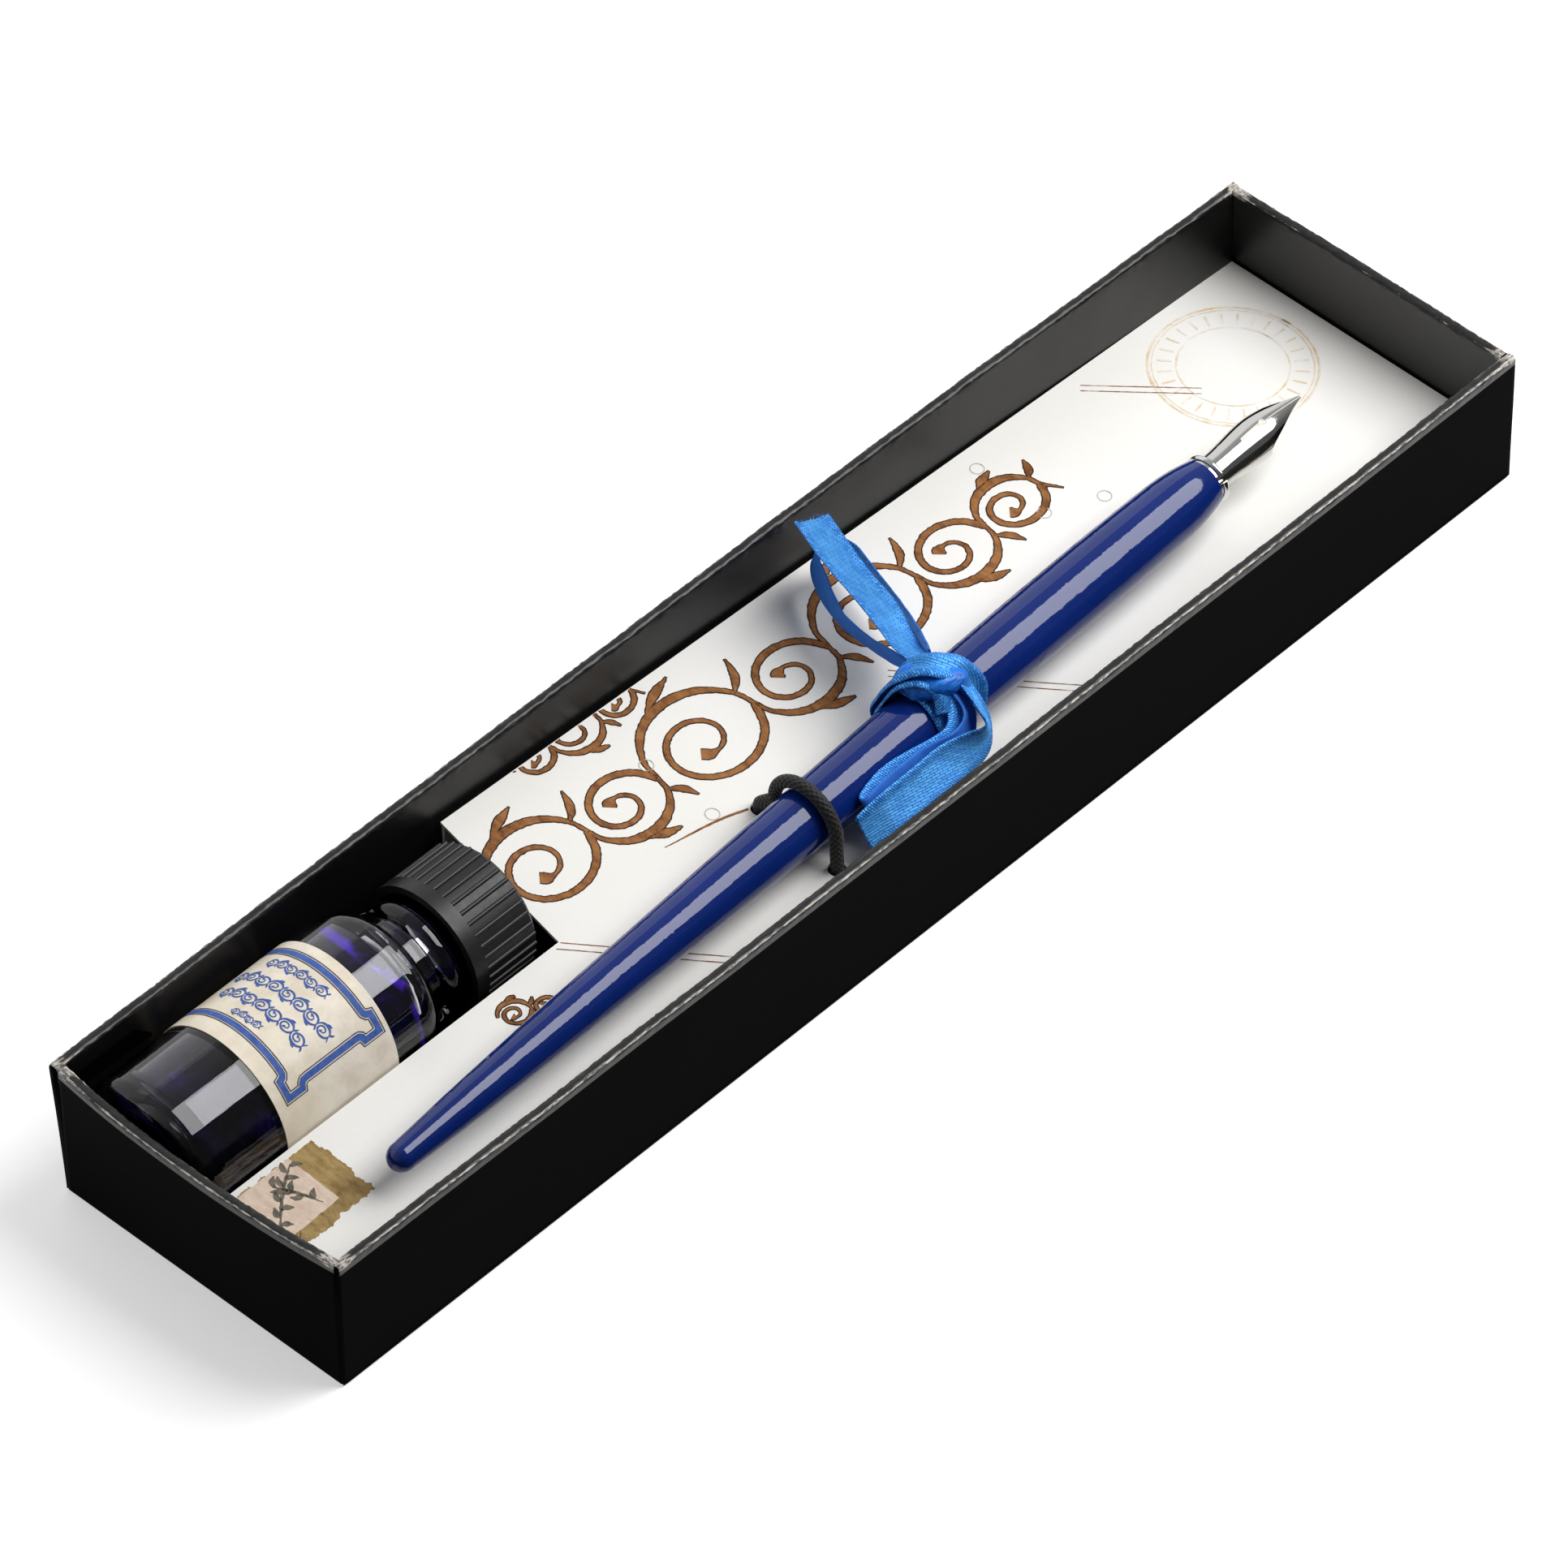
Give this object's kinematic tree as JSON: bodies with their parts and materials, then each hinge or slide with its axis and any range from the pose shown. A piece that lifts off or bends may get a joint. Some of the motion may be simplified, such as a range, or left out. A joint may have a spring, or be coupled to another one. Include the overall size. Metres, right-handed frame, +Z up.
{
  "type": "calligraphy set box",
  "caption": "Shallow folded-board tray with a card insert that holds a lacquered dip pen under an elastic loop and a lying ink bottle with a screw cap.",
  "frame": {"origin": "middle of the tray's underside", "axes": "+X runs along the tray from the pen's tail to its nib, +Y points to the long wall beside the ink bottle, +Z is up"},
  "size_m": [0.2, 0.046, 0.0236],
  "materials": {
    "tray_board": "paperboard with a glossy black film, worn grey at the folded rims",
    "insert_card": "uncoated cream card with printed flourishes",
    "elastic": "black braided round elastic",
    "barb_plastic": "black moulded cord ends",
    "bottle_glass": "clear moulded glass",
    "ink": "blue-violet ink, nearly black in bulk",
    "label_paper": "cream paper label printed in blue",
    "cap_plastic": "satin black moulded plastic with raised grip ribs",
    "liner_foam": "white foamed liner",
    "pen_lacquer": "turned wood in deep gloss cobalt lacquer",
    "ferrule_steel": "bright plated steel",
    "nib_steel": "polished pressed steel",
    "ribbon_satin": "azure woven satin with stitched selvedges"
  },
  "bodies": {
    "tray": {"tray_floor": "tray_board", "wall_bottle_side": "tray_board", "wall_pen_side": "tray_board", "wall_tail_end": "tray_board", "wall_nib_end": "tray_board", "corner_tab_tail_bottle": "tray_board", "corner_tab_tail_pen": "tray_board", "corner_tab_nib_bottle": "tray_board", "corner_tab_nib_pen": "tray_board"},
    "insert": {"insert_card": "insert_card", "insert_leg_pen_side": "insert_card", "insert_leg_bottle_side": "insert_card", "insert_leg_nib_end": "insert_card", "elastic_barb_far": "barb_plastic", "elastic_barb_near": "barb_plastic"},
    "elastic": {"elastic_loop": "elastic"},
    "pen": {"pen_holder": "pen_lacquer", "ferrule_sleeve": "ferrule_steel", "ferrule_prongs": "ferrule_steel", "ribbon_band": "ribbon_satin", "ribbon_knot": "ribbon_satin", "ribbon_loop_left": "ribbon_satin", "ribbon_tail_left": "ribbon_satin", "ribbon_loop_right": "ribbon_satin", "ribbon_tail_right": "ribbon_satin"},
    "nib": {"nib": "nib_steel"},
    "bottle": {"bottle_glass": "bottle_glass", "ink": "ink", "bottle_label": "label_paper"},
    "liner": {"cap_liner": "liner_foam"},
    "cap": {"bottle_cap": "cap_plastic"}
  },
  "joints": [
    {"name": "insert_lift", "type": "slide", "parent": "tray", "child": "insert", "axis": [0, 0, 1], "range_m": [0, 0.03]},
    {"name": "pen_tilt", "type": "hinge", "parent": "insert", "child": "elastic", "pos_m": [-0.08, -0.01229, 0.0144], "axis": [0.0445, -0.999, 0], "range_deg": [0, 8], "deforming": ["elastic_loop"]},
    {"name": "pen_draw", "type": "slide", "parent": "elastic", "child": "pen", "axis": [0.999, 0.0445, 0], "range_m": [0, 0.015]},
    {"name": "nib_pull", "type": "slide", "parent": "pen", "child": "nib", "axis": [0.999, 0.0445, 0], "range_m": [0, 0.012]},
    {"name": "bottle_lift", "type": "slide", "parent": "tray", "child": "bottle", "axis": [0, 0, 1], "range_m": [0, 0.03]},
    {"name": "cap_rise", "type": "slide", "parent": "bottle", "child": "liner", "axis": [1, 0, 0], "range_m": [0, 0.00075]},
    {"name": "cap_turn", "type": "hinge", "parent": "liner", "child": "cap", "pos_m": [-0.048, 0.0109, 0.01115], "axis": [1, 0, 0], "range_deg": [0, 90]}
  ],
  "couplings": [
    {"joint": "cap_turn", "follows": "cap_rise", "rad_per_m": 2094.4}
  ]
}
